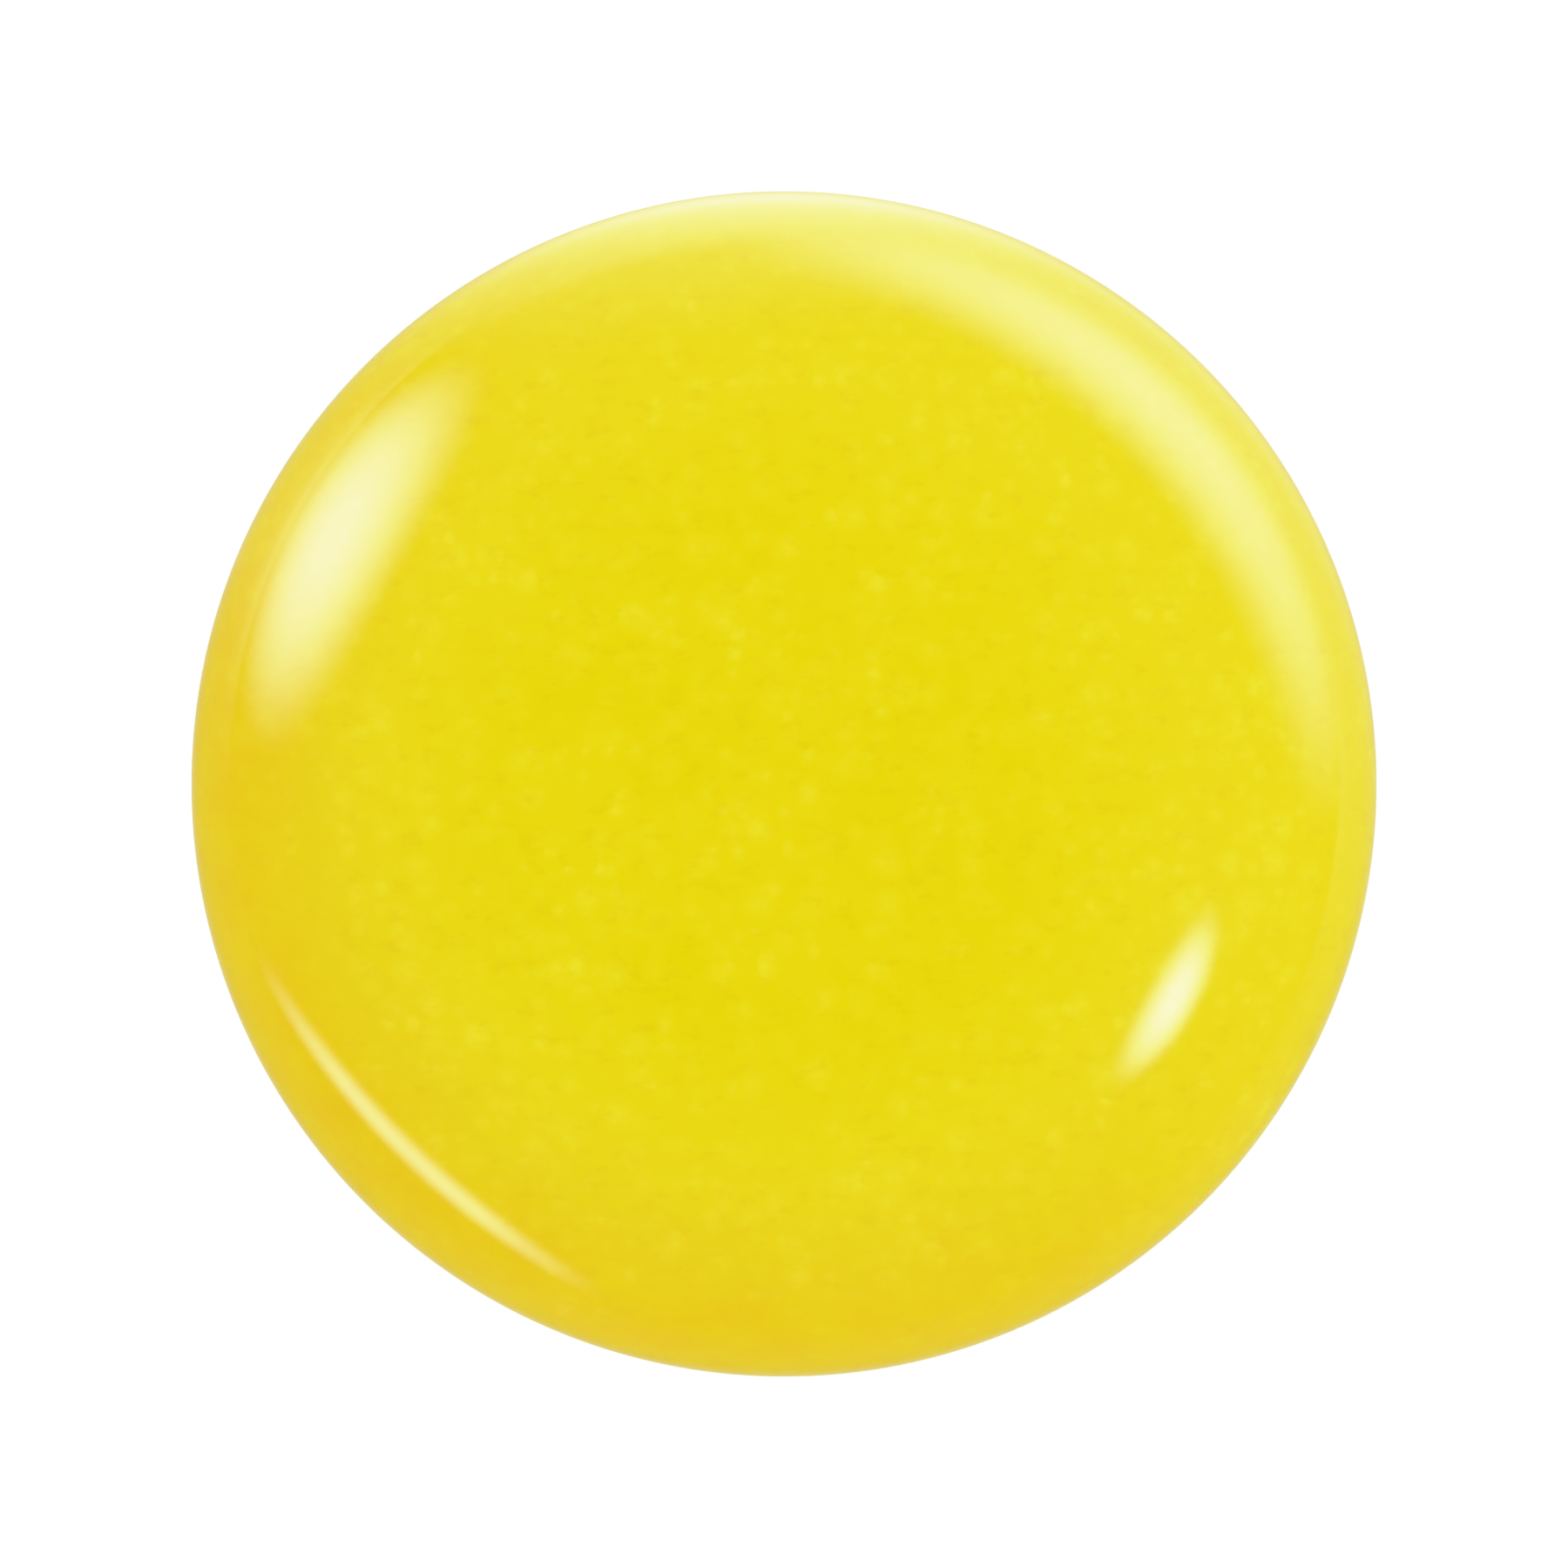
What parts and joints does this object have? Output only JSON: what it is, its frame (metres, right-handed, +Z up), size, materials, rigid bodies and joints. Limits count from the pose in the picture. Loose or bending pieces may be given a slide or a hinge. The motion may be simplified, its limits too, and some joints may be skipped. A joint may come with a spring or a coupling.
{
  "type": "tabletop curling stone",
  "caption": "Handle-less table-top curling stone: a low glossy domed cap over a weighted granite-look base that glides on captive steel ball rollers.",
  "frame": {"origin": "on the playing surface under the middle of the stone, in the plane through the lowest points of the roller balls", "axes": "+Z up, through the crown of the cap; +Y from the middle towards the first roller; the rollers stand at 120 degrees about +Z"},
  "size_m": [0.054, 0.054, 0.022],
  "materials": {
    "cap_yellow": "deep gloss, slightly translucent, faintly mottled yellow",
    "body_granite": "satin, granite-flecked grey moulding",
    "seal_black": "matt black elastomer",
    "ballast_steel": "zinc-plated turned steel",
    "screw_zinc": "bright zinc plate",
    "pad_foam": "closed-cell foam",
    "retainer_nickel": "bright nickel plate",
    "housing_zinc": "pressed zinc-plated steel",
    "wiper_felt": "pressed wool felt",
    "race_steel": "hardened, ground",
    "ball_steel": "polished bearing steel"
  },
  "bodies": {
    "stone": {"top_cap": "cap_yellow", "base_body": "body_granite", "seam_seal": "seal_black", "ballast_disc": "ballast_steel", "ballast_screw": "screw_zinc", "damping_pad": "pad_foam", "case_screw_1": "screw_zinc", "case_screw_2": "screw_zinc", "case_screw_3": "screw_zinc", "roller_retainer_1": "retainer_nickel", "roller_housing_1": "housing_zinc", "roller_wiper_1": "wiper_felt", "roller_race_1": "race_steel", "roller_retainer_2": "retainer_nickel", "roller_housing_2": "housing_zinc", "roller_wiper_2": "wiper_felt", "roller_race_2": "race_steel", "roller_retainer_3": "retainer_nickel", "roller_housing_3": "housing_zinc", "roller_wiper_3": "wiper_felt", "roller_race_3": "race_steel"},
    "support_ring_1": {"roller_support_balls_1": "ball_steel"},
    "ball_1": {"roller_ball_1": "ball_steel"},
    "support_ring_2": {"roller_support_balls_2": "ball_steel"},
    "ball_2": {"roller_ball_2": "ball_steel"},
    "support_ring_3": {"roller_support_balls_3": "ball_steel"},
    "ball_3": {"roller_ball_3": "ball_steel"}
  },
  "joints": [
    {"name": "support_ring_turn_1", "type": "hinge", "parent": "stone", "child": "support_ring_1", "pos_m": [0, 0.013, 0.00725], "axis": [0, 0, 1], "continuous": true},
    {"name": "ball_roll_1", "type": "hinge", "parent": "support_ring_1", "child": "ball_1", "pos_m": [0, 0.013, 0.004], "axis": [1, 0, 0], "continuous": true},
    {"name": "support_ring_turn_2", "type": "hinge", "parent": "stone", "child": "support_ring_2", "pos_m": [-0.01126, -0.0065, 0.00725], "axis": [0, 0, 1], "continuous": true},
    {"name": "ball_roll_2", "type": "hinge", "parent": "support_ring_2", "child": "ball_2", "pos_m": [-0.01126, -0.0065, 0.004], "axis": [1, 0, 0], "continuous": true},
    {"name": "support_ring_turn_3", "type": "hinge", "parent": "stone", "child": "support_ring_3", "pos_m": [0.01126, -0.0065, 0.00725], "axis": [0, 0, 1], "continuous": true},
    {"name": "ball_roll_3", "type": "hinge", "parent": "support_ring_3", "child": "ball_3", "pos_m": [0.01126, -0.0065, 0.004], "axis": [1, 0, 0], "continuous": true}
  ]
}
